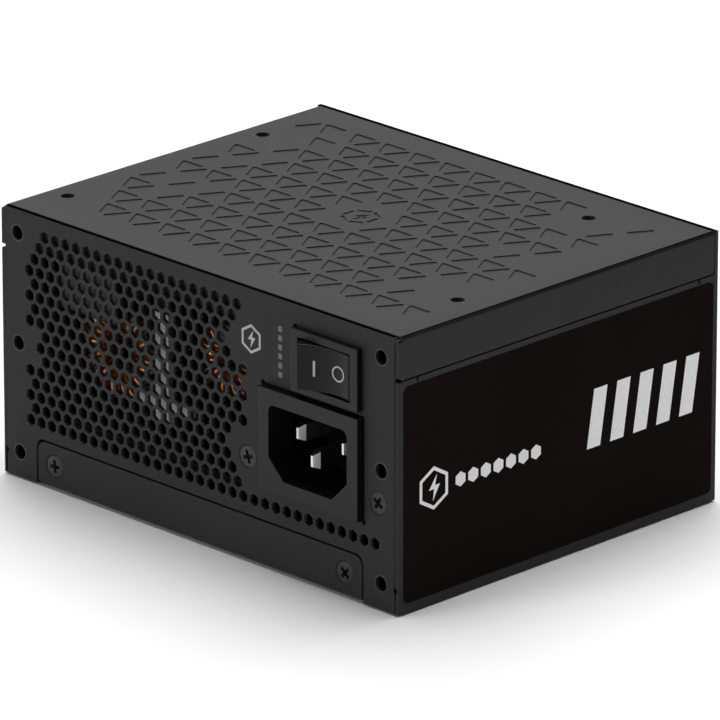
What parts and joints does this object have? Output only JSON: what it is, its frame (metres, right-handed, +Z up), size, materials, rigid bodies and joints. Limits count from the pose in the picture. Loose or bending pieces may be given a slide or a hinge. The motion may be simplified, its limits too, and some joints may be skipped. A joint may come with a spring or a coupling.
{
  "type": "power supply unit",
  "caption": "Small-form-factor computer power supply: steel case, mains inlet, rocker switch, honeycomb vent, bottom fan and modular output sockets.",
  "frame": {"origin": "bottom centre of the bounding box, on the plane the unit stands on", "axes": "+X to the right seen from the mains end, along the 125 mm width; +Y from the mains end to the output sockets; +Z up, from the fan cover to the closed top cover"},
  "size_m": [0.1254, 0.1056, 0.0635],
  "materials": {
    "powder_coat": "fine matt black powder coat on bent steel sheet",
    "black_plastic": "moulded black nylon, satin",
    "label_film": "near-black printed film, satin gloss",
    "nickel_plate": "nickel-plated contact and shaft steel",
    "black_screws": "black oxide screw steel",
    "brass": "turned brass",
    "circuit_board": "dark green solder mask over glass epoxy",
    "copper_wire": "enamelled copper magnet wire",
    "ferrite": "grey-black sintered ferrite",
    "aluminium": "extruded aluminium heat sink",
    "capacitor_sleeve": "dark shrink sleeve",
    "insulation_film": "translucent white insulating film",
    "wire_sleeve": "black wire insulation"
  },
  "bodies": {
    "case": {"chassis": "powder_coat", "top_cover": "powder_coat", "fan_cover": "powder_coat", "inlet_housing": "black_plastic", "switch_housing": "black_plastic", "fan_frame": "black_plastic", "fan_connector": "black_plastic", "socket_board_wide": "black_plastic", "socket_board_narrow": "black_plastic", "socket_drive": "black_plastic", "socket_a": "black_plastic", "socket_b": "black_plastic", "socket_c": "black_plastic", "socket_d": "black_plastic", "socket_e": "black_plastic", "side_label_right": "label_film", "side_label_left": "label_film", "inlet_pin_live": "nickel_plate", "inlet_pin_neutral": "nickel_plate", "inlet_pin_earth": "nickel_plate", "inlet_screw_left": "black_screws", "inlet_screw_right": "black_screws", "fan_screw_1": "black_screws", "fan_screw_2": "black_screws", "fan_screw_3": "black_screws", "fan_screw_4": "black_screws", "front_flap_screw_left": "black_screws", "front_flap_screw_right": "black_screws", "back_flap_screw_left": "black_screws", "back_flap_screw_right": "black_screws", "board_standoff_1": "brass", "board_standoff_2": "brass", "board_standoff_3": "brass", "board_standoff_4": "brass", "fan_bearing": "brass", "switch_terminal_in": "brass", "switch_terminal_out": "brass", "main_board": "circuit_board", "modular_board": "circuit_board", "pfc_choke_winding": "copper_wire", "emi_choke_winding": "copper_wire", "transformer_winding": "copper_wire", "pfc_choke_core": "ferrite", "emi_choke_core": "ferrite", "transformer_core": "ferrite", "primary_heat_sink": "aluminium", "secondary_heat_sink": "aluminium", "bulk_capacitor": "capacitor_sleeve", "output_capacitor_1": "capacitor_sleeve", "output_capacitor_2": "capacitor_sleeve", "x_capacitor": "capacitor_sleeve", "insulation_sheet": "insulation_film", "insulation_barrier": "insulation_film", "fan_lead": "wire_sleeve", "wire_live": "wire_sleeve", "wire_neutral": "wire_sleeve", "wire_earth": "wire_sleeve"},
    "rocker": {"power_rocker": "black_plastic"},
    "fan": {"fan_rotor": "black_plastic", "fan_shaft": "nickel_plate"}
  },
  "joints": [
    {"name": "rocker_tilt", "type": "hinge", "parent": "case", "child": "rocker", "pos_m": [0.0412, -0.0462, 0.0514], "axis": [0, 0, -1], "range_deg": [0, 24]},
    {"name": "fan_spin", "type": "hinge", "parent": "case", "child": "fan", "pos_m": [0, 0.0016, 0.0076], "axis": [0, 0, 1], "continuous": true}
  ]
}
